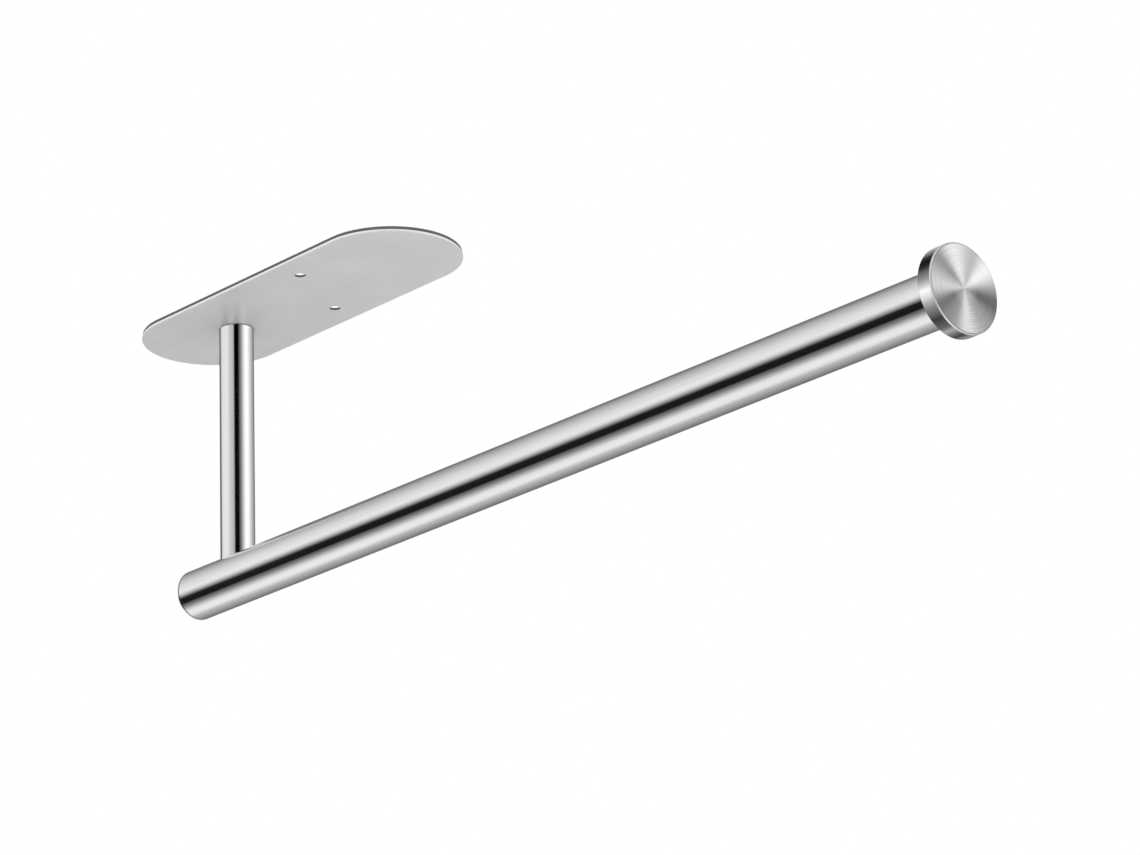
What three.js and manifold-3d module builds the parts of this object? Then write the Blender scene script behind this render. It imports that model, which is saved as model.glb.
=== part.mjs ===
// Under-cabinet paper towel holder, in millimetres.
// +Z is up and +X runs along the arm to its end disc. The origin is the centre of the adhesive
// face that meets the cabinet's underside, so the whole holder hangs below it.
//
// A flat obround plate carries one post. The post drops into a hole in the arm and screws onto an
// insert inside it. The arm's short end is closed by a cap, its long end by a larger disc.

import * as THREE from 'three';
import { mergeVertices } from 'three/addons/utils/BufferGeometryUtils.js';
import Module from 'manifold-3d';

const wasm = await Module();
wasm.setup();

// Mounting plate: obround, lying in XY, centred on the origin
const plateLength = 134;
const plateWidth = 46;
const plateThickness = 0.8;
const plateBevel = 0.2;

// Holes for two cabinet screws, staggered across the plate
const cabinetHoleDiameter = 3.4;
const cabinetHoleBevel = 0.2;
const cabinetHolePlaces = [
  { x: 16.8, y: -13.2 },
  { x: 1.5, y: 13.2 },
];

// Double-sided foam tape on top of the plate
const tapeThickness = 1;
const tapeInset = 0.2;
const tapeHoleMargin = 2.5;

// Post: a tube under the plate, away from the plate's middle
const postDiameter = 11;
const postWall = 1;
const postOffset = -32.2;
const postSeatHeight = 3; // the post's lower end, above the arm's axis

// Plugs pressed into the post's two ends
const topPlugLength = 12;
const bottomPlugLength = 14;

// Countersunk screw from the plate into the post, M4
const postScrewDiameter = 4;
const postScrewHeadDiameter = 6.6;
const postScrewRim = 0.2;
const postScrewLength = 10;
const postScrewSocketWidth = 2.5;
const postScrewSocketDepth = 0.9;

// Stud from the post into the arm's insert, M5
const postStudDiameter = 5;
const postStudInPlug = 10;
const postStudInInsert = 8;

// Arm: a tube along X, hung from the post
const armDiameter = 16;
const armWall = 1;
const armDrop = 84; // plate's underside to the arm's axis
const armOverhang = 21; // post's axis to the cap's outer face
const armReach = 309; // post's axis to the disc's back face

// Insert inside the arm, under the post
const insertBack = 10; // towards the cap
const insertFront = 12; // towards the disc

// Cap on the arm's short end
const capThickness = 0.8;
const capBevel = 0.35;
const capSpigotLength = 6;

// Disc on the arm's long end, with its plug and stud, M6
const discDiameter = 26;
const discThickness = 5;
const discFrontBevel = 0.6;
const discBackBevel = 0.3;
const discPlugLength = 14;
const discStudDiameter = 6;
const discStudInPlug = 12;
const discStudInDisc = 3;

// Clearances, each on one side
const pressFit = 0.05; // plug or spigot in its bore
const threadFit = 0.1; // screw or stud in its tapped hole
const slideFit = 0.15; // post in the arm's hole and the insert's pocket
const holeEndGap = 0.2; // past the end of a screw in a blind hole
const plugRecess = 0.3; // plug's end below the tube's end
const leadIn = 0.5; // chamfer that starts a plug or spigot into its bore
const cutOver = 1; // how far a cutting shape runs past what it cuts

// Facets round a circle that shows and one that is hidden or small
const roundLarge = 64;
const roundSmall = 28;

// Heights and places that follow from the sizes above
const postRadius = postDiameter / 2;
const postBoreRadius = postRadius - postWall;
const armRadius = armDiameter / 2;
const armBoreRadius = armRadius - armWall;
const undersideZ = -(tapeThickness + plateThickness);
const armAxisZ = undersideZ - armDrop;
const seatZ = armAxisZ + postSeatHeight;
const postScrewRadius = postScrewDiameter / 2;
const postScrewHeadRadius = postScrewHeadDiameter / 2;
const postScrewHeadHeight = postScrewHeadRadius - postScrewRadius + postScrewRim;
const postStudRadius = postStudDiameter / 2;
const discStudRadius = discStudDiameter / 2;

// ---------------------------------------------------------------- shapes

// A solid for joining and cutting, from a closed geometry.
function solidOf(geometry) {
  const bare = geometry.clone();
  bare.deleteAttribute('normal');
  bare.deleteAttribute('uv');
  const merged = mergeVertices(bare, 1e-5);
  const corners = merged.index.array;
  const triangles = [];
  for (let i = 0; i < corners.length; i += 3) {
    const [a, b, c] = [corners[i], corners[i + 1], corners[i + 2]];
    if (a !== b && b !== c && c !== a) triangles.push(a, b, c);
  }
  const vertProperties = new Float32Array(merged.attributes.position.array);
  const triVerts = new Uint32Array(triangles);
  return new wasm.Manifold(new wasm.Mesh({ numProp: 3, vertProperties, triVerts }));
}

function geometryOf(solid) {
  const mesh = solid.getMesh();
  const geometry = new THREE.BufferGeometry();
  geometry.setAttribute('position', new THREE.BufferAttribute(mesh.vertProperties, 3));
  geometry.setIndex(new THREE.BufferAttribute(mesh.triVerts, 1));
  geometry.computeVertexNormals();
  return geometry;
}

function cut(geometry, cutters) {
  let solid = solidOf(geometry);
  for (const cutter of cutters) {
    solid = solid.subtract(solidOf(cutter));
  }
  return geometryOf(solid);
}

// A turned shape about Z. Each point is [radius, height], up the outside.
function turned(profile, facets) {
  const points = profile.map(([radius, height]) => new THREE.Vector2(radius, height));
  return new THREE.LatheGeometry(points, facets).rotateX(Math.PI / 2);
}

// The same shape lying down, with its height along +X.
function laid(geometry) {
  return geometry.rotateY(Math.PI / 2);
}

function tube(outerRadius, boreRadius, length, facets) {
  return turned([
    [outerRadius, 0],
    [outerRadius, length],
    [boreRadius, length],
    [boreRadius, 0],
    [outerRadius, 0],
  ], facets);
}

function rod(radius, length, facets, chamfer = 0) {
  return turned([
    [0, 0],
    [radius - chamfer, 0],
    [radius, chamfer],
    [radius, length - chamfer],
    [radius - chamfer, length],
    [0, length],
  ], facets);
}

// A pressed-in plug with a tapped hole right through it and chamfered ends.
function tappedPlug(boreRadius, length, holeRadius) {
  const radius = boreRadius - pressFit;
  return turned([
    [radius - leadIn, 0],
    [radius, leadIn],
    [radius, length - leadIn],
    [radius - leadIn, length],
    [holeRadius, length],
    [holeRadius, 0],
    [radius - leadIn, 0],
  ], roundSmall);
}

function obround(length, width) {
  const radius = width / 2;
  const reach = length / 2 - radius;
  const shape = new THREE.Shape();
  shape.absarc(reach, 0, radius, -Math.PI / 2, Math.PI / 2);
  shape.absarc(-reach, 0, radius, Math.PI / 2, Math.PI * 1.5);
  return shape;
}

// ---------------------------------------------------------------- plate and tape

// The plate's lower face is at undersideZ.
function mountingPlate() {
  const slab = new THREE.ExtrudeGeometry(obround(plateLength, plateWidth), {
    depth: plateThickness - 2 * plateBevel,
    bevelThickness: plateBevel,
    bevelSize: plateBevel,
    bevelOffset: -plateBevel,
    bevelSegments: 1,
    curveSegments: roundLarge / 4,
  }).translate(0, 0, undersideZ + plateBevel);

  // Each cabinet hole opens out in a small bevel on the face that shows.
  const holeRadius = cabinetHoleDiameter / 2;
  const flare = cutOver + cabinetHoleBevel;
  const cabinetHoles = cabinetHolePlaces.map(({ x, y }) => turned([
    [0, -cutOver],
    [holeRadius + flare, -cutOver],
    [holeRadius, cabinetHoleBevel],
    [holeRadius, plateThickness + cutOver],
    [0, plateThickness + cutOver],
  ], roundSmall).translate(x, y, undersideZ));

  // The post's screw sits in a cone that widens upwards.
  const throat = postScrewRadius + threadFit;
  const screwHole = turned([
    [0, -cutOver],
    [throat, -cutOver],
    [throat, 0],
    [throat + plateThickness + cutOver, plateThickness + cutOver],
    [0, plateThickness + cutOver],
  ], roundSmall).translate(postOffset, 0, undersideZ);

  return cut(slab, [...cabinetHoles, screwHole]);
}

// The tape's upper face is at 0, with a hole over each of the plate's.
function adhesiveTape() {
  const shape = obround(plateLength - 2 * tapeInset, plateWidth - 2 * tapeInset);
  const holes = [
    ...cabinetHolePlaces.map((place) => ({ ...place, radius: cabinetHoleDiameter / 2 })),
    { x: postOffset, y: 0, radius: postScrewHeadRadius },
  ];
  for (const { x, y, radius } of holes) {
    const path = new THREE.Path();
    path.absarc(x, y, radius + tapeHoleMargin, 0, Math.PI * 2, true);
    shape.holes.push(path);
  }
  return new THREE.ExtrudeGeometry(shape, {
    depth: tapeThickness,
    bevelEnabled: false,
    curveSegments: roundLarge / 4,
  }).translate(0, 0, -tapeThickness);
}

// ---------------------------------------------------------------- post

// Drawn from the foot of its thread up, and placed so that its cone starts at the underside.
function postScrew() {
  const coneTop = postScrewLength + postScrewHeadRadius - postScrewRadius;
  const body = turned([
    [0, 0],
    [postScrewRadius - leadIn, 0],
    [postScrewRadius, leadIn],
    [postScrewRadius, postScrewLength],
    [postScrewHeadRadius, coneTop],
    [postScrewHeadRadius, coneTop + postScrewRim],
    [0, coneTop + postScrewRim],
  ], roundSmall);
  const top = postScrewLength + postScrewHeadHeight;
  const socketRadius = postScrewSocketWidth / Math.sqrt(3);
  const socket = turned([
    [0, top - postScrewSocketDepth],
    [socketRadius, top - postScrewSocketDepth],
    [socketRadius, top + cutOver],
    [0, top + cutOver],
  ], 6);
  return cut(body, [socket]).translate(postOffset, 0, undersideZ - postScrewLength);
}

function postTube() {
  const length = undersideZ - seatZ;
  return tube(postRadius, postBoreRadius, length, roundLarge).translate(postOffset, 0, seatZ);
}

function postTopPlug() {
  const plug = tappedPlug(postBoreRadius, topPlugLength, postScrewRadius + threadFit);
  return plug.translate(postOffset, 0, undersideZ - plugRecess - topPlugLength);
}

function postBottomPlug() {
  const plug = tappedPlug(postBoreRadius, bottomPlugLength, postStudRadius + threadFit);
  return plug.translate(postOffset, 0, seatZ + plugRecess);
}

function postStud() {
  const length = postStudInInsert + postStudInPlug;
  const stud = rod(postStudRadius, length, roundSmall, leadIn);
  return stud.translate(postOffset, 0, seatZ - postStudInInsert);
}

// ---------------------------------------------------------------- arm

// The upright hole that the post drops into, from its seat up past the arm.
function postPocket() {
  const depth = armRadius - postSeatHeight + cutOver;
  return rod(postRadius + slideFit, depth, roundLarge).translate(postOffset, 0, seatZ);
}

function armTube() {
  const start = postOffset - armOverhang + capThickness;
  const length = armOverhang - capThickness + armReach;
  const wall = laid(tube(armRadius, armBoreRadius, length, roundLarge));
  return cut(wall.translate(start, 0, armAxisZ), [postPocket()]);
}

function armInsert() {
  const body = laid(rod(armBoreRadius - pressFit, insertBack + insertFront, roundSmall, leadIn));
  const holeRadius = postStudRadius + threadFit;
  const tappedHole = rod(holeRadius, armDiameter, roundSmall);
  return cut(body.translate(postOffset - insertBack, 0, armAxisZ), [
    postPocket(),
    tappedHole.translate(postOffset, 0, armAxisZ - armRadius),
  ]);
}

function armEndCap() {
  const spigotRadius = armBoreRadius - pressFit;
  const spigotEnd = capThickness + capSpigotLength;
  const cap = laid(turned([
    [0, 0],
    [armRadius - capBevel, 0],
    [armRadius, capBevel],
    [armRadius, capThickness],
    [spigotRadius, capThickness],
    [spigotRadius, spigotEnd - leadIn],
    [spigotRadius - leadIn, spigotEnd],
    [0, spigotEnd],
  ], roundLarge));
  return cap.translate(postOffset - armOverhang, 0, armAxisZ);
}

// ---------------------------------------------------------------- disc end

function discPlug() {
  const plug = laid(tappedPlug(armBoreRadius, discPlugLength, discStudRadius + threadFit));
  return plug.translate(postOffset + armReach - plugRecess - discPlugLength, 0, armAxisZ);
}

function discStud() {
  const length = discStudInPlug + discStudInDisc;
  const stud = laid(rod(discStudRadius, length, roundSmall, leadIn));
  return stud.translate(postOffset + armReach - discStudInPlug, 0, armAxisZ);
}

// A turned disc with a tapped blind hole in its back face.
function endDisc() {
  const radius = discDiameter / 2;
  const holeRadius = discStudRadius + threadFit;
  const holeDepth = discStudInDisc + holeEndGap;
  const disc = laid(turned([
    [0, holeDepth],
    [holeRadius, holeDepth],
    [holeRadius, 0],
    [radius - discBackBevel, 0],
    [radius, discBackBevel],
    [radius, discThickness - discFrontBevel],
    [radius - discFrontBevel, discThickness],
    [0, discThickness],
  ], roundLarge));
  return disc.translate(postOffset + armReach, 0, armAxisZ);
}

// ---------------------------------------------------------------- assembly

const satinSteel = { color: 0xc2c3c5, roughness: 0.38, metalness: 1 };
const polishedSteel = { color: 0xd2d3d5, roughness: 0.16, metalness: 1 };
const spunSteel = { color: 0xcbcad0, roughness: 0.24, metalness: 1 };
const screwSteel = { color: 0xa9aaac, roughness: 0.34, metalness: 1 };
const adhesiveFoam = { color: 0x67686a, roughness: 0.92, metalness: 0 };

function piece(name, geometry, finish) {
  const mesh = new THREE.Mesh(geometry, new THREE.MeshStandardMaterial(finish));
  mesh.name = name;
  return mesh;
}

const plateAssembly = new THREE.Group();
plateAssembly.add(
  piece('mounting_plate', mountingPlate(), satinSteel),
  piece('adhesive_tape', adhesiveTape(), adhesiveFoam),
  piece('post_screw', postScrew(), screwSteel),
);

const postAssembly = new THREE.Group();
postAssembly.add(
  piece('post_tube', postTube(), polishedSteel),
  piece('post_top_plug', postTopPlug(), screwSteel),
  piece('post_bottom_plug', postBottomPlug(), screwSteel),
  piece('post_stud', postStud(), screwSteel),
);

const armAssembly = new THREE.Group();
armAssembly.add(
  piece('arm_tube', armTube(), polishedSteel),
  piece('arm_insert', armInsert(), screwSteel),
  piece('arm_end_cap', armEndCap(), polishedSteel),
  piece('disc_plug', discPlug(), screwSteel),
  piece('disc_stud', discStud(), screwSteel),
  piece('end_disc', endDisc(), spunSteel),
);

const holder = new THREE.Group();
holder.add(plateAssembly, postAssembly, armAssembly);

export default holder;
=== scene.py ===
import math

import bmesh
import bpy
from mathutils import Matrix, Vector


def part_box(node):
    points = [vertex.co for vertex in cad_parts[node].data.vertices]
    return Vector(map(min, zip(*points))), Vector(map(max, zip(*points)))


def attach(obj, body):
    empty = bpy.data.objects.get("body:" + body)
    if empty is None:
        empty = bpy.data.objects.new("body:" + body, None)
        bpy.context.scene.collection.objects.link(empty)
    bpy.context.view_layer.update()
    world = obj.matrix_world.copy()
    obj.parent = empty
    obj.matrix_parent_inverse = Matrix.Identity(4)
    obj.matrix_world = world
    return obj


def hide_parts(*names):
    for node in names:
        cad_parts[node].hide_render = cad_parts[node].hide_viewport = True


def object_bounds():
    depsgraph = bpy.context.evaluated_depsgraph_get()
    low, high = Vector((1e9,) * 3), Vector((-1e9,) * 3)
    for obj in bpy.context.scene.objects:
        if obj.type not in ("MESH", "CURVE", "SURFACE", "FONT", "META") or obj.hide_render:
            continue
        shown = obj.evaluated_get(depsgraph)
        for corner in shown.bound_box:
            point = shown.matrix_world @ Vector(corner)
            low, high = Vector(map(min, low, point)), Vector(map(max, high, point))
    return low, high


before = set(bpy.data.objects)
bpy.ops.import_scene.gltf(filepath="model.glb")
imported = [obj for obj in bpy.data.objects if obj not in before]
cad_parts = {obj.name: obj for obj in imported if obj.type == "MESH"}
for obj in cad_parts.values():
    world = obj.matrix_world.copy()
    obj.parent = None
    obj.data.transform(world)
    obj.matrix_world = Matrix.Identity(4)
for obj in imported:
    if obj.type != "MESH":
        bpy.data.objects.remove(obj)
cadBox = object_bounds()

# Under-cabinet paper towel holder: plate, post, arm and end disc in stainless steel.
# Metres, +Z up, +X along the arm to its disc. The origin is on the face that meets the cabinet.

mm = 0.001
nearly = 0.02 * mm  # how far off a point may be and still count as on a plane
pastCut = 1 * mm  # how far a cutter runs past each side of what it cuts
smoothBelow = math.radians(35)  # edges sharper than this stay crisp

# radius of the tapped bore, and pitch
threads = {
    "M4": {"bore": 2.1 * mm, "pitch": 0.7 * mm},
    "M5": {"bore": 2.6 * mm, "pitch": 0.8 * mm},
    "M6": {"bore": 3.1 * mm, "pitch": 1 * mm},
}


# ---- camera, below the holder and round towards its disc

view = {
    "azimuth": 47.485,
    "elevation": -19.715,
    "roll": -1.85,
    "distance": 1.4,
    "lens": 145.3,
    "sensor": 36,
    "aimOffset": (-0.0254, 0.0388, -0.0101),  # from the middle of the holder
}


def backOf(azimuth, elevation):
    turn, rise = math.radians(azimuth), math.radians(elevation)
    return Vector((
        math.sin(turn) * math.cos(rise),
        -math.cos(turn) * math.cos(rise),
        math.sin(rise),
    ))


back = backOf(view["azimuth"], view["elevation"])  # from the holder to the camera


def addCamera():
    low, high = cadBox
    aim = (low + high) / 2 + Vector(view["aimOffset"])
    bpy.ops.object.camera_add(location=aim + back * view["distance"])
    camera = bpy.context.object
    camera.name = "camera"
    camera.rotation_euler = (-back).to_track_quat("-Z", "Y").to_euler()
    camera.rotation_euler.rotate_axis("Z", math.radians(view["roll"]))
    camera.data.lens = view["lens"]
    camera.data.sensor_width = view["sensor"]
    camera.data.clip_end = 50
    bpy.context.scene.camera = camera
    print("camera placed")


# ---- helpers for nodes

def addNode(tree, kind, **settings):
    node = tree.nodes.new("ShaderNode" + kind)
    for key, value in settings.items():
        setattr(node, key, value)
    return node


def feed(tree, socket, value):
    # another node's output, or a fixed value
    if isinstance(value, bpy.types.NodeSocket):
        tree.links.new(value, socket)
    else:
        socket.default_value = value


def addMath(tree, operation, *values):
    node = addNode(tree, "Math", operation=operation)
    for socket, value in zip(node.inputs, values):
        feed(tree, socket, value)
    return node.outputs[0]


def addRange(tree, value, low, high, start=0.3, stop=0.7, ease="LINEAR"):
    # low at the start and high at the stop; noise mostly lies between 0.3 and 0.7
    spread = addNode(tree, "MapRange", interpolation_type=ease)
    feed(tree, spread.inputs["Value"], value)
    spread.inputs["From Min"].default_value = start
    spread.inputs["From Max"].default_value = stop
    spread.inputs["To Min"].default_value = low
    spread.inputs["To Max"].default_value = high
    return spread.outputs[0]


def addFade(tree, value, ends, low=0):
    return addRange(tree, value, low, 1, *ends, ease="SMOOTHSTEP")


def addTint(tree, value, dark, light, blending="MIX"):
    blend = addNode(tree, "Mix", data_type="RGBA", blend_type=blending)
    feed(tree, blend.inputs["Factor"], value)
    feed(tree, blend.inputs["A"], dark)
    feed(tree, blend.inputs["B"], light)
    return blend.outputs["Result"]


def addRamp(tree, stops, value, blending="LINEAR"):
    ramp = addNode(tree, "ValToRGB")
    ramp.color_ramp.interpolation = blending
    points = ramp.color_ramp.elements
    while len(points) < len(stops):
        points.new(0.5)
    for point, (place, tone) in zip(points, stops):
        point.position = place
        point.color = (tone, tone, tone, 1)
    feed(tree, ramp.inputs[0], value)
    return ramp.outputs[0]


def addAxes(tree, kind="Object"):
    place = addNode(tree, "TexCoord")
    axes = addNode(tree, "SeparateXYZ")
    tree.links.new(place.outputs[kind], axes.inputs[0])
    return axes.outputs


def addTurn(tree, upright, across, start):
    # 0 to 1 once round, from the start
    angle = addMath(tree, "ARCTAN2", upright, across)
    share = addMath(tree, "DIVIDE", angle, 2 * math.pi)
    return addMath(tree, "FRACT", addMath(tree, "SUBTRACT", addMath(tree, "ADD", share, 2), start))


def farFrom(tree, value, target):
    return addMath(tree, "ABSOLUTE", addMath(tree, "SUBTRACT", value, target))


# ---- studio: a white room, with soft dark flags that only show in the polished steel

studio = {
    "roomWhite": 1.0,
    "floorDrop": 3,
    "floorSize": 40,
    "floorColor": (0.97, 0.97, 0.97, 1),
    "floorRoughness": 0.8,
    "postStart": (-0.52, -0.38),  # along X, where the arm's flags give way to the post's
    "beltEdge": (0.36, 0.16),  # how far above or below its middle the post's belt fades
    "patchEdge": (0.48, 0.7),  # how squarely the near side is faced, where the low patch comes in
    "farEnd": (-0.97, -0.88),  # along X, where the dark far end gives way
    "farTone": 0.12,
}

# What the steel sees, round the arm's axis: 0 and 1 are behind the arm, 0.5 is the near side.
# Below 0.5 is overhead and above 0.5 is underneath.
roundArm = [
    (0.00, 0.10), (0.10, 0.21), (0.20, 0.49), (0.30, 0.76), (0.375, 0.89), (0.40, 0.74),
    (0.425, 0.42), (0.451, 0.09), (0.463, 0.01), (0.529, 0.01), (0.542, 0.13),
    (0.565, 0.21), (0.60, 0.50), (0.635, 0.84), (0.68, 0.92), (0.71, 0.86),
    (0.75, 0.55), (0.80, 0.40), (0.86, 0.26), (0.92, 0.18), (1.00, 0.10),
]

# The same round the post's axis: 0.5 is the near side, and above it is towards the disc.
roundPost = [
    (0.00, 0.14), (0.13, 0.36), (0.185, 0.58), (0.265, 0.80), (0.325, 0.87), (0.375, 0.64),
    (0.435, 0.54), (0.455, 0.36), (0.468, 0.03), (0.476, 0.0), (0.537, 0.0), (0.556, 0.10),
    (0.588, 0.28), (0.62, 0.58), (0.652, 0.95), (0.69, 1.12), (0.722, 1.1),
    (0.77, 0.78), (0.83, 0.50), (0.90, 0.27), (1.00, 0.12),
]

nearArm = math.atan2(back.z, back.y) / (2 * math.pi)  # where the near side is, in turns
nearPost = math.atan2(back.y, back.x) / (2 * math.pi)


def addRoom():
    world = bpy.data.worlds.new("whiteStudio")
    bpy.context.scene.world = world
    world.use_nodes = True
    tree = world.node_tree
    tree.nodes.clear()
    x, y, z = addAxes(tree, "Generated")
    armTone = addRamp(tree, roundArm, addTurn(tree, z, y, nearArm + 0.5))
    postTone = addRamp(tree, roundPost, addTurn(tree, y, x, nearPost + 0.5))

    # The end of the room past the capped end is the arm's. The rest is the post's, as a belt
    # at the height that the near side sees in the post.
    pastStart = addFade(tree, x, studio["postStart"])
    belt = addFade(tree, farFrom(tree, z, -back.z), studio["beltEdge"])

    # so is a patch low on the near side, which the plate sees by way of the post
    low = addFade(tree, farFrom(tree, z, back.z), studio["beltEdge"])
    facing = addMath(
        tree, "ADD", addMath(tree, "MULTIPLY", x, back.x), addMath(tree, "MULTIPLY", y, back.y),
    )
    patch = addMath(tree, "MULTIPLY", low, addFade(tree, facing, studio["patchEdge"]))
    postShare = addMath(tree, "MAXIMUM", addMath(tree, "MULTIPLY", pastStart, belt), patch)
    flags = addTint(tree, postShare, armTone, postTone)

    # the far end is dark, which edges the post
    shown = addNode(tree, "VectorMath", operation="SCALE")
    tree.links.new(flags, shown.inputs[0])
    tree.links.new(addFade(tree, x, studio["farEnd"], studio["farTone"]), shown.inputs["Scale"])

    rays = addNode(tree, "LightPath")
    white = studio["roomWhite"]
    room = addTint(tree, rays.outputs["Is Glossy Ray"], (white, white, white, 1), shown.outputs["Vector"])
    light = addNode(tree, "Background")
    tree.links.new(room, light.inputs["Color"])
    final = addNode(tree, "OutputWorld")
    tree.links.new(light.outputs[0], final.inputs["Surface"])
    bpy.context.scene.view_settings.view_transform = "Standard"


def addFloor():
    deselect()
    bpy.ops.mesh.primitive_plane_add(
        size=studio["floorSize"], location=(0, 0, cadBox[0].z - studio["floorDrop"]),
    )
    floor = bpy.context.object
    floor.name = "floor"
    floor.visible_glossy = False
    paleFloor = newMaterial("paleFloor", studio["floorColor"], 0, studio["floorRoughness"])[0]
    floor.data.materials.append(paleFloor)
    print("studio ready")


# ---- two cards that only the disc's polish sees

cards = {
    "edgeRadius": 13.4 * mm,
    "edgeWidth": 5.9 * mm,
    "edgeBack": 3.85 * mm,  # how far its middle is behind the disc's face
    "edgeArc": (103, 312),  # degrees from +Y towards +Z, the near side only
    "edgeDraw": 0.892,  # how far its tones are drawn in towards the near side, as it is so close
    "edgeSteps": 96,
    "faceSize": 120 * mm,
    "faceGap": 120 * mm,
    "faceLight": 1.12,
}

# What the disc's edge sees, before it is drawn in: 0 is towards +Y, 0.25 is up.
roundEdge = [
    (0.256, 0.60), (0.315, 0.50), (0.357, 0.20), (0.383, 0.03), (0.412, 0.004), (0.436, 0.03),
    (0.46, 0.17), (0.486, 0.34), (0.508, 0.64), (0.529, 1.12), (0.556, 0.80),
    (0.578, 0.46), (0.60, 0.26), (0.625, 0.15), (0.648, 0.05), (0.67, 0.09),
    (0.696, 0.15), (0.719, 0.44), (0.744, 0.20), (0.773, 0.06), (0.815, 0.30),
]


def newGlow(name):
    material = bpy.data.materials.new(name)
    material.use_nodes = True
    tree = material.node_tree
    tree.nodes.clear()
    glow = addNode(tree, "Emission")
    final = addNode(tree, "OutputMaterial")
    tree.links.new(glow.outputs[0], final.inputs["Surface"])
    return material, tree, glow


def hangCard(card, name, material):
    card.name = name
    card.data.materials.append(material)
    card.visible_camera = False
    card.visible_diffuse = False
    card.visible_shadow = False


def addEdgeCard():
    # an arc close about the disc, seen from inside
    low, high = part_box("end_disc")
    middle = (low + high) / 2
    first, last = cards["edgeArc"]
    deselect()
    bpy.ops.mesh.primitive_cylinder_add(
        vertices=cards["edgeSteps"], radius=cards["edgeRadius"], depth=cards["edgeWidth"],
        location=(high.x - cards["edgeBack"], middle.y, middle.z),
        rotation=(0, math.pi / 2, 0), end_fill_type="NOTHING",
    )
    startEdit()
    pickFaces(lambda co, normal: not first < math.degrees(math.atan2(co.z - middle.z, co.y)) % 360 < last)
    bpy.ops.mesh.delete(type="FACE")
    bpy.ops.object.mode_set(mode="OBJECT")

    near = nearArm + 1
    stops = [(near + (place - near) * cards["edgeDraw"], tone) for place, tone in roundEdge]
    material, tree, glow = newGlow("edgeGlow")
    axes = addAxes(tree)
    up = addMath(tree, "SUBTRACT", axes["Z"], middle.z)
    tree.links.new(addRamp(tree, stops, addTurn(tree, up, axes["Y"], 0)), glow.inputs["Color"])
    hangCard(bpy.context.object, "edgeCard", material)


def addFaceCard():
    # plain and bright, in front of the face, where the near side sees its mirror image
    low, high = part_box("end_disc")
    faceMiddle = Vector((high.x, (low.y + high.y) / 2, (low.z + high.z) / 2))
    towards = Vector((back.x, -back.y, -back.z))
    deselect()
    bpy.ops.mesh.primitive_plane_add(
        size=cards["faceSize"], location=faceMiddle + towards * cards["faceGap"],
        rotation=towards.to_track_quat("Z", "Y").to_euler(),
    )
    material, _, glow = newGlow("faceGlow")
    glow.inputs["Strength"].default_value = cards["faceLight"]
    hangCard(bpy.context.object, "faceCard", material)


# ---- helpers for pieces

def deselect():
    if bpy.context.object and bpy.context.object.mode != "OBJECT":
        bpy.ops.object.mode_set(mode="OBJECT")
    bpy.ops.object.select_all(action="DESELECT")


def applyPlace():
    bpy.ops.object.transform_apply(location=True, rotation=True, scale=True)


def startEdit():
    applyPlace()
    bpy.ops.object.mode_set(mode="EDIT")
    bpy.ops.mesh.select_all(action="DESELECT")


def endEdit(name):
    bpy.ops.object.mode_set(mode="OBJECT")
    piece = bpy.context.object
    piece.name = name
    piece.data.name = name
    return piece


def at(value, target):
    return abs(value - target) < nearly


def pickRings(axis, places, test=lambda co: True):
    # the edges that lie in a plane at one of these places along the axis
    mesh = bmesh.from_edit_mesh(bpy.context.object.data)
    bpy.ops.mesh.select_mode(type="EDGE")
    bpy.ops.mesh.select_all(action="DESELECT")
    for edge in mesh.edges:
        ends = [vertex.co for vertex in edge.verts]
        inPlane = any(all(at(co[axis], place) for co in ends) for place in places)
        edge.select_set(inPlane and all(test(co) for co in ends))
    bmesh.update_edit_mesh(bpy.context.object.data)


def pickFaces(test):
    mesh = bmesh.from_edit_mesh(bpy.context.object.data)
    bpy.ops.mesh.select_mode(type="FACE")
    bpy.ops.mesh.select_all(action="DESELECT")
    for face in mesh.faces:
        face.select_set(test(face.calc_center_median(), face.normal))
    bmesh.update_edit_mesh(bpy.context.object.data)


def pickVertices(test):
    mesh = bmesh.from_edit_mesh(bpy.context.object.data)
    bpy.ops.mesh.select_mode(type="VERT")
    bpy.ops.mesh.select_all(action="DESELECT")
    for vertex in mesh.verts:
        vertex.select_set(test(vertex.co))
    mesh.select_flush_mode()
    bmesh.update_edit_mesh(bpy.context.object.data)


def roundOff(offset, segments):
    bpy.ops.mesh.bevel(offset=offset, segments=segments, affect="EDGES")


def pushOut(distance):
    bpy.ops.mesh.extrude_region_move(TRANSFORM_OT_translate={"value": (distance, 0, 0)})


def applyModifier(piece, kind, **settings):
    modifier = piece.modifiers.new(kind.lower(), kind)
    for key, value in settings.items():
        setattr(modifier, key, value)
    bpy.context.view_layer.objects.active = piece
    bpy.ops.object.modifier_apply(modifier=modifier.name)


def cutWith(piece, cutter):
    applyModifier(piece, "BOOLEAN", operation="DIFFERENCE", object=cutter, solver="EXACT")
    bpy.data.objects.remove(cutter)
    piece.select_set(True)
    bpy.context.view_layer.objects.active = piece


def drill(piece, x, y, radius, start, stop, steps, spin=0):
    # a round hole straight up, from one height to another
    deselect()
    bpy.ops.mesh.primitive_cylinder_add(
        vertices=steps, radius=radius, depth=stop - start,
        location=(x, y, (start + stop) / 2), rotation=(0, 0, spin),
    )
    cutWith(piece, bpy.context.object)


def addRod(low, high, axis, steps, center=None, ends="NGON"):
    # a cylinder that fills the box, along X or Z
    deselect()
    bpy.ops.mesh.primitive_cylinder_add(
        vertices=steps, radius=(high.y - low.y) / 2, depth=high[axis] - low[axis],
        location=center or (low + high) / 2, end_fill_type=ends,
        rotation=(0, 0, 0) if axis == 2 else (0, math.pi / 2, 0),
    )


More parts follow.
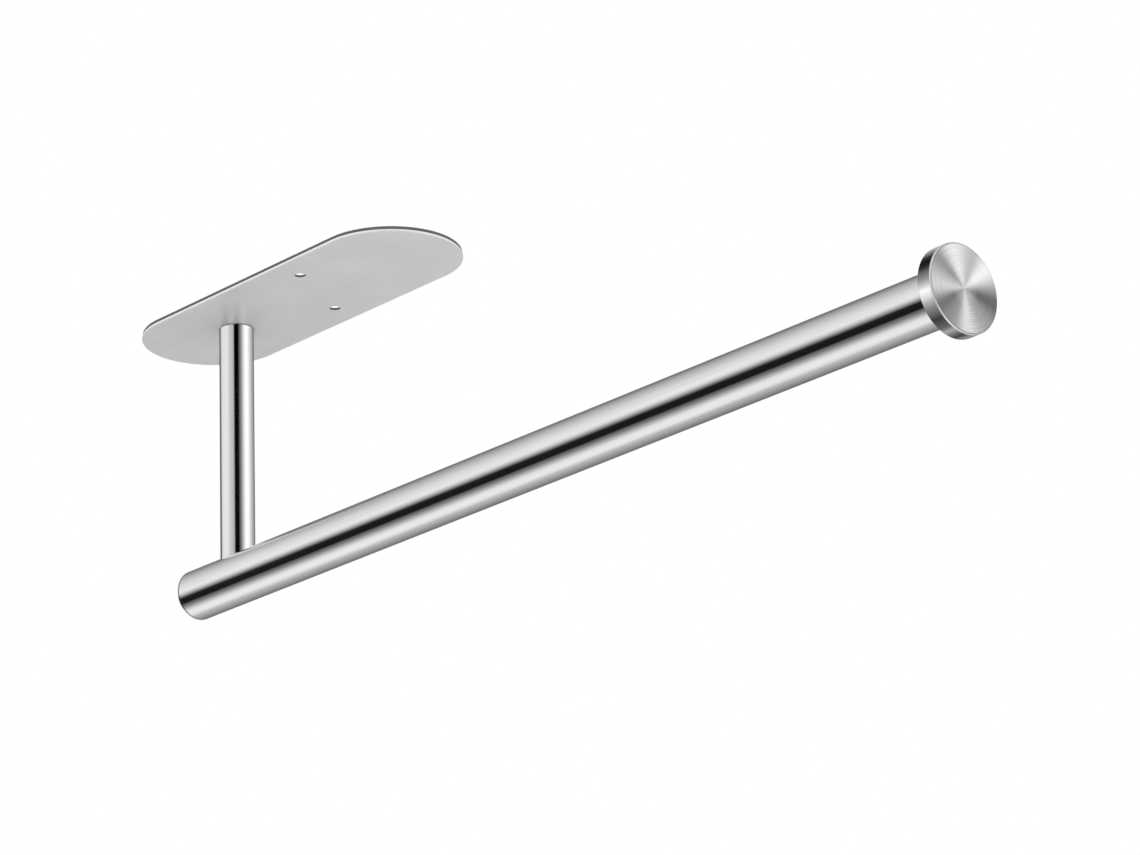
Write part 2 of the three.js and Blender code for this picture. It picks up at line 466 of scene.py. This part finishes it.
def makeTube(name, low, high, axis, shape):
    # an open cylinder given its wall, with its outer edges rounded
    middle = (low + high) / 2
    inner = (high.y - low.y) / 2 - 0.5 * shape["wall"]
    along = Vector([1 if place == axis else 0 for place in range(3)])
    addRod(low, high, axis, shape["steps"], ends="NOTHING")
    applyPlace()
    applyModifier(bpy.context.object, "SOLIDIFY", thickness=shape["wall"], offset=-1)
    startEdit()
    pickRings(axis, (low[axis], high[axis]), lambda co: (co - middle).cross(along).length > inner)
    roundOff(shape["edgeRound"], shape["edgeSteps"])
    return endEdit(name)


def turnPiece(name, profile, steps=96):
    # turned about Z from rings of (height, radius); hollow if the last ring meets the first
    hollow = profile[0] == profile[-1]
    height, radius = profile[0]
    deselect()
    bpy.ops.mesh.primitive_circle_add(
        vertices=steps, radius=radius, location=(0, 0, height),
        fill_type="NOTHING" if hollow else "NGON",
    )
    startEdit()
    bpy.ops.mesh.select_mode(type="EDGE")
    bpy.ops.mesh.select_all(action="SELECT")
    if not hollow:
        bpy.ops.mesh.region_to_loop()
    for nextHeight, nextRadius in profile[1:]:
        bpy.ops.mesh.extrude_edges_move(TRANSFORM_OT_translate={"value": (0, 0, nextHeight - height)})
        grow = nextRadius / radius
        bpy.ops.transform.resize(value=(grow, grow, 1), center_override=(0, 0, nextHeight))
        height, radius = nextHeight, nextRadius
    if not hollow:
        bpy.ops.mesh.edge_face_add()
    bpy.ops.mesh.select_all(action="SELECT")
    bpy.ops.mesh.remove_doubles(threshold=0.001 * mm)
    bpy.ops.mesh.normals_make_consistent(inside=False)
    return endEdit(name)


def threadRings(start, stop, crest, root, pitch):
    # the rings of a thread, with one crest to a turn, and no ring where the last root ends
    turns = round(abs(stop - start) / pitch)
    step = (stop - start) / turns
    rings = []
    for turn in range(turns):
        place = start + turn * step
        rings += [(place + 0.45 * step, crest), (place + 0.55 * step, crest)]
        rings += [(place + 0.95 * step, root), (place + 1.05 * step, root)]
    return rings[:-1]


def placePiece(piece, node, layDown=False):
    # from its own Z to where it belongs, and over on to X if it lies along the arm
    low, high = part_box(node)
    middle = (low + high) / 2
    bpy.ops.object.select_all(action="DESELECT")
    piece.select_set(True)
    bpy.context.view_layer.objects.active = piece
    if layDown:
        piece.rotation_euler = (0, math.pi / 2, 0)
        piece.location = (low.x, middle.y, middle.z)
    else:
        piece.location = (middle.x, middle.y, low.z)
    applyPlace()


def handOver(piece, node, material):
    # smooth the rounds, and let the large faces decide how the edges shade
    bpy.context.view_layer.objects.active = piece
    piece.select_set(True)
    bpy.ops.object.shade_smooth_by_angle(angle=smoothBelow)
    applyModifier(piece, "WEIGHTED_NORMAL", keep_sharp=True)
    piece.data.materials.clear()
    piece.data.materials.append(material)
    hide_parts(node)
    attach(piece, "root")
    print(piece.name, "made,", len(piece.data.polygons), "faces")


def addFinish(piece, material, test):
    # a second finish on the faces that pass the test; the first one is already on the piece
    piece.data.materials.append(material)
    bpy.context.view_layer.objects.active = piece
    bpy.ops.object.mode_set(mode="EDIT")
    pickFaces(test)
    piece.active_material_index = len(piece.data.materials) - 1
    bpy.ops.object.material_slot_assign()
    bpy.ops.object.mode_set(mode="OBJECT")


# ---- finishes

def newMaterial(name, color, metallic, roughness):
    material = bpy.data.materials.new(name)
    material.use_nodes = True
    tree = material.node_tree
    skin = tree.nodes["Principled BSDF"]
    skin.inputs["Base Color"].default_value = color
    skin.inputs["Metallic"].default_value = metallic
    skin.inputs["Roughness"].default_value = roughness
    return material, tree, skin


def addGrain(tree, scale, detail=4):
    # noise on the piece's own place, drawn out by a different scale on each axis
    place = addNode(tree, "TexCoord")
    stretch = addNode(tree, "Mapping")
    stretch.inputs["Scale"].default_value = scale
    noise = addNode(tree, "TexNoise")
    noise.inputs["Scale"].default_value = 1
    noise.inputs["Detail"].default_value = detail
    tree.links.new(place.outputs["Object"], stretch.inputs["Vector"])
    tree.links.new(stretch.outputs[0], noise.inputs["Vector"])
    return noise.outputs["Fac"]


def addBump(tree, skin, height, strength, distance):
    bump = addNode(tree, "Bump")
    bump.inputs["Strength"].default_value = strength
    bump.inputs["Distance"].default_value = distance
    tree.links.new(height, bump.inputs["Height"])
    tree.links.new(bump.outputs[0], skin.inputs["Normal"])


def addShares(tree, first, share, second):
    # the rest of the whole is the second's
    return addMath(
        tree, "ADD", addMath(tree, "MULTIPLY", first, share), addMath(tree, "MULTIPLY", second, 1 - share),
    )


def grainedSkin(name, color, metallic, roughness, scale, shades, dullness, relief, detail=4):
    # one grain that tints a piece, dulls it and gives it relief
    material, tree, skin = newMaterial(name, color, metallic, roughness)
    grain = addGrain(tree, scale, detail)
    tree.links.new(addTint(tree, addRange(tree, grain, 0, 1), *shades), skin.inputs["Base Color"])
    tree.links.new(addRange(tree, grain, *dullness), skin.inputs["Roughness"])
    addBump(tree, skin, grain, *relief)
    return material


def tubeSteel(name, alongAxis, fine, bump, dullest):
    # drawn and polished tube: faint lines along its length, and a little haze
    material, tree, skin = newMaterial(name, (0.9, 0.9, 0.905, 1), 1, 0.1)
    scale = [fine, fine, fine]
    scale[alongAxis] = 14
    lines = addGrain(tree, scale)
    haze = addGrain(tree, (60, 60, 60), detail=2)
    tone = addShares(tree, lines, 0.7, haze)
    color = addTint(tree, addRange(tree, tone, 0, 1), (0.87, 0.87, 0.88, 1), (0.93, 0.93, 0.93, 1))
    tree.links.new(color, skin.inputs["Base Color"])
    tree.links.new(addRange(tree, tone, dullest - 0.06, dullest), skin.inputs["Roughness"])
    addBump(tree, skin, lines, bump, 0.02 * mm)
    return material


def satinSteel(name):
    # fine lines and haze, a little more polish towards one end, and painted light that brightens the
    # colour along X towards the other
    material, tree, skin = newMaterial(name, (0.84, 0.84, 0.84, 1), 0.44, 0.34)
    lines = addGrain(tree, (40, 5200, 5200))
    haze = addGrain(tree, (45, 45, 45), detail=3)
    plateEnd = cadBox[0].x
    # painted light: the colour brightens steadily along X
    paintedLightDrift = addRange(tree, addAxes(tree)["X"], -0.1, 0.14, plateEnd, -plateEnd)
    tone = addMath(tree, "ADD", addShares(tree, lines, 0.5, haze), paintedLightDrift)
    color = addTint(tree, addRange(tree, tone, 0, 1), (0.77, 0.77, 0.775, 1), (0.88, 0.88, 0.88, 1))
    tree.links.new(color, skin.inputs["Base Color"])
    tree.links.new(addRange(tree, tone, 0.36, 0.44), skin.inputs["Roughness"])
    addBump(tree, skin, lines, 0.08, 0.02 * mm)
    return material


def tapeFoam():
    return grainedSkin(
        "tapeFoam", (0.14, 0.14, 0.145, 1), metallic=0, roughness=0.95,
        scale=(3500, 3500, 3500), detail=3,
        shades=((0.095, 0.095, 0.10, 1), (0.15, 0.15, 0.155, 1)),
        dullness=(0.85, 1), relief=(0.4, 0.08 * mm),
    )


def machinedSteel():
    return grainedSkin(
        "machinedSteel", (0.6, 0.6, 0.62, 1), metallic=1, roughness=0.32,
        scale=(2200, 2200, 2200), detail=3,
        shades=((0.52, 0.52, 0.54, 1), (0.68, 0.68, 0.69, 1)),
        dullness=(0.26, 0.4), relief=(0.1, 0.03 * mm),
    )


def cutEdgeHighlight():
    # the plate's edge, painted near white and barely metallic: a painted highlight along the edge
    return grainedSkin(
        "cutEdgeHighlight", (0.92, 0.92, 0.92, 1), metallic=0.25, roughness=0.45,
        scale=(900, 900, 6000),
        shades=((0.88, 0.88, 0.885, 1), (0.95, 0.95, 0.95, 1)),
        dullness=(0.4, 0.5), relief=(0.1, 0.03 * mm),
    )


def holeWallShade():
    # the walls of the two screw holes, painted dark as painted shade inside the holes, and dull from the
    # drill
    return grainedSkin(
        "holeWallShade", (0.16, 0.16, 0.165, 1), metallic=0.5, roughness=0.5,
        scale=(900, 900, 6000),
        shades=((0.07, 0.07, 0.072, 1), (0.2, 0.2, 0.205, 1)),
        dullness=(0.4, 0.55), relief=(0.1, 0.03 * mm),
    )


def jointShade():
    # painted shade: a dark line along a tight joint, where its shadow falls
    return grainedSkin(
        "jointShade", (0.05, 0.05, 0.05, 1), metallic=0.3, roughness=0.6,
        scale=(2500, 2500, 2500), detail=3,
        shades=((0.03, 0.03, 0.032, 1), (0.09, 0.09, 0.092, 1)),
        dullness=(0.5, 0.7), relief=(0.1, 0.03 * mm),
    )


def discEdgeSteel():
    return grainedSkin(
        "discEdgeSteel", (0.88, 0.88, 0.885, 1), metallic=1, roughness=0.1,
        scale=(4200, 30, 30),
        shades=((0.84, 0.84, 0.85, 1), (0.92, 0.92, 0.92, 1)),
        dullness=(0.06, 0.12), relief=(0.05, 0.02 * mm),
    )


def discRoundSteel():
    # the small round between the disc's edge and its face
    return grainedSkin(
        "discRoundSteel", (0.78, 0.78, 0.79, 1), metallic=0.45, roughness=0.4,
        scale=(4200, 60, 60),
        shades=((0.70, 0.70, 0.71, 1), (0.82, 0.82, 0.83, 1)),
        dullness=(0.34, 0.44), relief=(0.06, 0.02 * mm),
    )


# The painted sheen of the turned face: tones of light and dark painted into its colour, round from +Y (0)
# past the top (0.25).
paintedSheen = [
    (0.00, 0.18), (0.035, 0.36), (0.07, 0.74), (0.10, 0.96), (0.133, 0.92), (0.168, 0.52),
    (0.20, 0.50), (0.235, 0.62), (0.27, 0.80), (0.30, 0.85), (0.335, 0.78), (0.37, 0.42),
    (0.40, 0.27), (0.435, 0.36), (0.49, 0.62), (0.533, 0.72), (0.57, 0.26), (0.60, 0.13),
    (0.635, 0.26), (0.67, 0.29), (0.70, 0.39), (0.733, 0.74), (0.765, 0.76), (0.80, 0.54),
    (0.84, 0.39), (0.90, 0.31), (0.935, 0.19), (0.967, 0.12), (1.00, 0.18),
]

turnedFace = {
    "ringScale": 3600,
    "waver": 0.035,  # how far the painted sheen strays from ring to ring, in turns
    "middle": (0.62, 0.62, 0.63, 1),  # what the painted sheen runs into at the centre
    "middleReach": 0.4,  # as a share of the radius
    "streaks": ((0.78, 0.765, 0.80, 1), (1, 0.99, 1, 1)),
    "anisotropy": 0.7,
}


def discFaceRingsAndSheen(center, outer):
    # turned face: fine rings about the arm's axis, and a fan of light and dark painted into its colour as
    # a painted sheen
    material, tree, skin = newMaterial("discFaceRingsAndSheen", (0.86, 0.855, 0.87, 1), 1, 0.2)
    axes = addAxes(tree)
    across = addMath(tree, "SUBTRACT", axes["Y"], center.y)
    up = addMath(tree, "SUBTRACT", axes["Z"], center.z)
    square = addMath(
        tree, "ADD", addMath(tree, "MULTIPLY", across, across), addMath(tree, "MULTIPLY", up, up),
    )
    radius = addMath(tree, "SQRT", square)
    noise = addNode(tree, "TexNoise", noise_dimensions="1D")
    noise.inputs["Scale"].default_value = 1
    noise.inputs["Detail"].default_value = 3
    tree.links.new(addMath(tree, "MULTIPLY", radius, turnedFace["ringScale"]), noise.inputs["W"])
    rings = noise.outputs["Fac"]

    waver = addMath(tree, "MULTIPLY", addMath(tree, "SUBTRACT", rings, 0.5), turnedFace["waver"])
    # painted sheen: the fan of light and dark goes into the base colour by angle round the face
    paintedFan = addRamp(tree, paintedSheen, addTurn(tree, up, across, waver), "B_SPLINE")
    reach = addRange(tree, radius, 0.3, 1, 0, turnedFace["middleReach"] * outer)
    paintedSheenTone = addTint(tree, reach, turnedFace["middle"], paintedFan)
    streak = addTint(tree, addRange(tree, rings, 0, 1), *turnedFace["streaks"])
    tree.links.new(addTint(tree, 1, paintedSheenTone, streak, "MULTIPLY"), skin.inputs["Base Color"])
    tree.links.new(addRange(tree, rings, 0.16, 0.24), skin.inputs["Roughness"])
    addBump(tree, skin, rings, 0.2, 0.03 * mm)
    skin.inputs["Anisotropic"].default_value = turnedFace["anisotropy"]
    skin.inputs["Anisotropic Rotation"].default_value = 0.25
    tangent = addNode(tree, "Tangent", direction_type="RADIAL", axis="X")
    tree.links.new(tangent.outputs[0], skin.inputs["Tangent"])
    return material


# ---- mounting plate

plate = {
    "edgeRound": 0.18 * mm,
    "holeRadius": 1.7 * mm,
    "holeBevel": 0.2 * mm,
    "holes": [(16.8 * mm, -13.2 * mm), (1.5 * mm, 13.2 * mm)],
    "screwHoleRadius": 2.1 * mm,
    "holeSteps": 64,
}


def makeObround(low, high, steps=192):
    # a round disc, pulled apart into two half rounds
    radius = (high.y - low.y) / 2
    reach = (high.x - low.x) / 2 - radius
    middle = (low + high) / 2
    deselect()
    bpy.ops.mesh.primitive_cylinder_add(
        vertices=steps, radius=radius, depth=high.z - low.z, location=middle,
        rotation=(0, 0, math.pi / steps),
    )
    startEdit()
    for side in (1, -1):
        pickVertices(lambda co: (co.x - middle.x) * side > 0)
        bpy.ops.transform.translate(value=(side * reach, 0, 0))


def drillThrough(piece, x, y, radius, low, high):
    drill(piece, x, y, radius, low.z - pastCut, high.z + pastCut, plate["holeSteps"])


def postMiddle():
    low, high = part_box("post_tube")
    return (low + high) / 2


def sinkScrewHole(piece, low, high):
    # countersunk at 90 degrees, so it widens by as much as it rises
    deselect()
    radius = plate["screwHoleRadius"]
    thickness = high.z - low.z
    bpy.ops.mesh.primitive_cone_add(
        vertices=plate["holeSteps"], radius1=radius - pastCut, radius2=radius + thickness + pastCut,
        depth=thickness + 2 * pastCut, location=(postMiddle().x, postMiddle().y, (low.z + high.z) / 2),
    )
    cutWith(piece, bpy.context.object)


def inHole(co):
    wall = plate["holeRadius"] + plate["holeBevel"] + nearly
    return any((co.xy - Vector(hole)).length < wall for hole in plate["holes"])


def makePlate(material, edge, wall):
    low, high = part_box("mounting_plate")
    makeObround(low, high)
    pickRings(2, (low.z, high.z))
    roundOff(plate["edgeRound"], 3)
    piece = endEdit("plate")
    for x, y in plate["holes"]:
        drillThrough(piece, x, y, plate["holeRadius"], low, high)
    sinkScrewHole(piece, low, high)
    bpy.ops.object.mode_set(mode="EDIT")
    for hole in plate["holes"]:
        pickRings(2, (low.z,), lambda co: (co.xy - Vector(hole)).length < plate["holeRadius"] + nearly)
        roundOff(plate["holeBevel"], 3)
    endEdit("plate")
    piece.visible_glossy = False
    handOver(piece, "mounting_plate", material)
    # painted highlight: the plate's edge gets the near-white finish
    addFinish(piece, edge, lambda co, normal: abs(normal.z) < 0.6 and not inHole(co))
    # painted shade: the hole walls get the dark finish
    addFinish(piece, wall, lambda co, normal: abs(normal.z) < 0.6 and inHole(co))


# ---- foam tape

tape = {"holeMargin": 2.5 * mm, "edgeRound": 0.1 * mm}


def makeTape(material):
    low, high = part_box("adhesive_tape")
    makeObround(low, high)
    pickRings(2, (low.z, high.z))
    roundOff(tape["edgeRound"], 2)
    piece = endEdit("foamTape")
    openings = [(x, y, plate["holeRadius"]) for x, y in plate["holes"]]
    openings.append((postMiddle().x, postMiddle().y, screw["headRadius"]))
    for x, y, radius in openings:
        drillThrough(piece, x, y, radius + tape["holeMargin"], low, high)
    piece.visible_glossy = False
    handOver(piece, "adhesive_tape", material)


# ---- post

post = {"wall": 1 * mm, "edgeRound": 0.22 * mm, "edgeSteps": 3, "steps": 160}


def makePost(material, shadeLine):
    low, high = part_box("post_tube")
    piece = makeTube("post", low, high, 2, post)
    handOver(piece, "post_tube", material)
    # painted shade: the dark line on the rounded top edge, where the post meets the plate
    addFinish(piece, shadeLine, lambda co, normal: co.z > high.z - post["edgeRound"] and normal.z < 0.99)


# ---- arm

arm = {"wall": 1 * mm, "edgeRound": 0.2 * mm, "edgeSteps": 2, "steps": 192, "holeClearance": 0.04 * mm}


def makeArm(material):
    low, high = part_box("arm_tube")
    piece = makeTube("arm", low, high, 0, arm)
    postLow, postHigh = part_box("post_tube")
    hole = (postHigh.x - postLow.x) / 2 + arm["holeClearance"]
    halfStep = math.pi / post["steps"]  # so that no corner of the hole lands on the tube's top line
    top = postLow.z + high.y - low.y
    drill(piece, postMiddle().x, 0, hole, postLow.z, top, post["steps"], halfStep)
    handOver(piece, "arm_tube", material)


# ---- end cap

cap = {
    "flange": 0.8 * mm,
    "edgeRound": 0.3 * mm,
    "seamRound": 0.2 * mm,
    "spigotRadius": 6.95 * mm,
    "leadIn": 0.5 * mm,
}


def makeCap(material, face, shadeLine):
    low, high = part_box("arm_end_cap")
    radius = (high.y - low.y) / 2
    middle = (low + high) / 2
    seam = low.x + cap["flange"]
    addRod(low, Vector((seam, high.y, high.z)), 0, arm["steps"])
    startEdit()
    pickRings(0, (low.x,))
    roundOff(cap["edgeRound"], 4)
    pickRings(0, (seam,))
    roundOff(cap["seamRound"], 2)
    pickFaces(lambda co, normal: at(co.x, seam) and normal.x > 0.9)
    bpy.ops.mesh.inset(thickness=radius - cap["seamRound"] - cap["spigotRadius"], depth=0)
    pushOut(high.x - seam)
    pickRings(0, (high.x,))
    roundOff(cap["leadIn"], 2)
    piece = endEdit("endCap")
    handOver(piece, "arm_end_cap", material)
    addFinish(piece, face, lambda co, normal: at(co.x, low.x))
    # painted shade: the dark line in the groove at the seam
    addFinish(piece, shadeLine, lambda co, normal: (
        seam - cap["seamRound"] < co.x < seam - nearly / 2
        and (co.yz - middle.yz).length > radius - cap["seamRound"]
    ))


# ---- end disc

disc = {
    "frontRound": 0.6 * mm,
    "backRound": 0.3 * mm,
    "holeRadius": threads["M6"]["bore"],
    "holeDepth": 3.2 * mm,
    "steps": 256,
}


def makeDisc():
    low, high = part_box("end_disc")
    radius = (high.y - low.y) / 2
    addRod(low, high, 0, disc["steps"])
    startEdit()
    pickRings(0, (high.x,))
    roundOff(disc["frontRound"], 3)
    pickRings(0, (low.x,))
    roundOff(disc["backRound"], 3)
    pickFaces(lambda co, normal: at(co.x, low.x) and normal.x < -0.9)
    bpy.ops.mesh.inset(thickness=radius - disc["backRound"] - disc["holeRadius"], depth=0)
    pushOut(disc["holeDepth"])
    piece = endEdit("endDisc")
    handOver(piece, "end_disc", discEdgeSteel())
    addFinish(piece, discFaceRingsAndSheen((low + high) / 2, radius), lambda co, normal: abs(normal.x) > 0.95)
    addFinish(piece, discRoundSteel(), lambda co, normal: 0.1 < normal.x < 0.95)


# ---- screw, studs and plugs inside the tubes

screw = {
    "radius": 2 * mm,
    "root": 1.7 * mm,
    "length": 10 * mm,
    "headRadius": 3.3 * mm,
    "headEdge": 0.05 * mm,
    "shank": 1.2 * mm,  # plain, under the head
    "runOut": 0.3 * mm,  # from the last root out to the shank
    "socket": 2.5 * mm,
    "socketDepth": 0.9 * mm,
    "leadIn": 0.5 * mm,
}


def makeScrew(thread, material):
    low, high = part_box("post_screw")
    radius, headRadius, headEdge = screw["radius"], screw["headRadius"], screw["headEdge"]
    shankStart = screw["length"] - screw["shank"]
    coneTop = screw["length"] + headRadius - radius
    top = high.z - low.z
    profile = [(0, radius - screw["leadIn"])]
    profile += threadRings(0, shankStart, radius, screw["root"], thread["pitch"])
    profile += [(shankStart + screw["runOut"], radius), (screw["length"], radius)]
    profile += [(coneTop, headRadius), (top - headEdge, headRadius), (top, headRadius - headEdge)]
    piece = turnPiece("postScrew", profile)
    deselect()
    bpy.ops.mesh.primitive_cylinder_add(
        vertices=6, radius=screw["socket"] / math.sqrt(3), depth=2 * screw["socketDepth"],
        location=(0, 0, top),
    )
    cutWith(piece, bpy.context.object)
    placePiece(piece, "post_screw")
    handOver(piece, "post_screw", material)


def lengthAndRadius(node, layDown):
    low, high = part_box(node)
    size = high - low
    return size.x if layDown else size.z, size.y / 2


stud = {"rootDepth": 0.35 * mm, "leadIn": 0.5 * mm, "threadStart": 0.1 * mm}


def makeStud(name, node, thread, material, layDown=False):
    length, radius = lengthAndRadius(node, layDown)
    root = radius - stud["rootDepth"]
    margin = stud["threadStart"]
    profile = [(0, radius - stud["leadIn"])]
    profile += threadRings(margin, length - margin, radius, root, thread["pitch"])
    profile += [(length, radius - stud["leadIn"])]
    piece = turnPiece(name, profile)
    placePiece(piece, node, layDown)
    handOver(piece, node, material)


plug = {"leadIn": 0.5 * mm, "threadDepth": 0.25 * mm}


def makePlug(name, node, thread, material, layDown=False):
    # tapped right through, with a lead-in at each end
    length, radius = lengthAndRadius(node, layDown)
    lead = plug["leadIn"]
    mouth = thread["bore"] + plug["threadDepth"]
    profile = [(0, mouth), (0, radius - lead), (lead, radius), (length - lead, radius)]
    profile += [(length, radius - lead), (length, mouth)]
    profile += threadRings(length, 0, thread["bore"], mouth, thread["pitch"])
    profile += [(0, mouth)]
    piece = turnPiece(name, profile)
    placePiece(piece, node, layDown)
    handOver(piece, node, material)


insert = {"leadIn": 0.5 * mm, "slideFit": 0.15 * mm, "steps": 160, "holeSteps": 128}


def makeInsert(thread, material):
    low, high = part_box("arm_insert")
    radius = (high.y - low.y) / 2
    middle = (low + high) / 2
    middle.z = low.z + radius
    addRod(low, high, 0, insert["steps"], center=middle)
    startEdit()
    pickRings(0, (low.x, high.x))
    roundOff(insert["leadIn"], 2)
    piece = endEdit("armInsert")

    # a flat-bottomed pocket for the post's end, and a tapped hole under it
    postLow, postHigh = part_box("post_tube")
    pocket = (postHigh.y + insert["slideFit"], postLow.z, postLow.z + 2 * radius)
    tapped = (thread["bore"], middle.z - 2 * radius, middle.z + radius)
    for holeRadius, start, stop in (pocket, tapped):
        drill(piece, postMiddle().x, postMiddle().y, holeRadius, start, stop, insert["holeSteps"])
    handOver(piece, "arm_insert", material)


# ---- making

addCamera()
addRoom()
addFloor()
addEdgeCard()
addFaceCard()

inside = machinedSteel()
seamShade = jointShade()
postSteel = tubeSteel("postSteel", alongAxis=2, fine=1500, bump=0.012, dullest=0.1)
armSteel = tubeSteel("armSteel", alongAxis=0, fine=2600, bump=0.025, dullest=0.13)

makePlate(satinSteel("plateSteel"), cutEdgeHighlight(), holeWallShade())
makeTape(tapeFoam())
makeScrew(threads["M4"], inside)
makePost(postSteel, seamShade)
makePlug("topPlug", "post_top_plug", threads["M4"], inside)
makePlug("bottomPlug", "post_bottom_plug", threads["M5"], inside)
makeStud("postStud", "post_stud", threads["M5"], inside)
makeArm(armSteel)
makeInsert(threads["M5"], inside)
makeCap(armSteel, satinSteel("capFaceSteel"), seamShade)
makePlug("discPlug", "disc_plug", threads["M6"], inside, layDown=True)
makeStud("discStud", "disc_stud", threads["M6"], inside, layDown=True)
makeDisc()

print("pieces made")
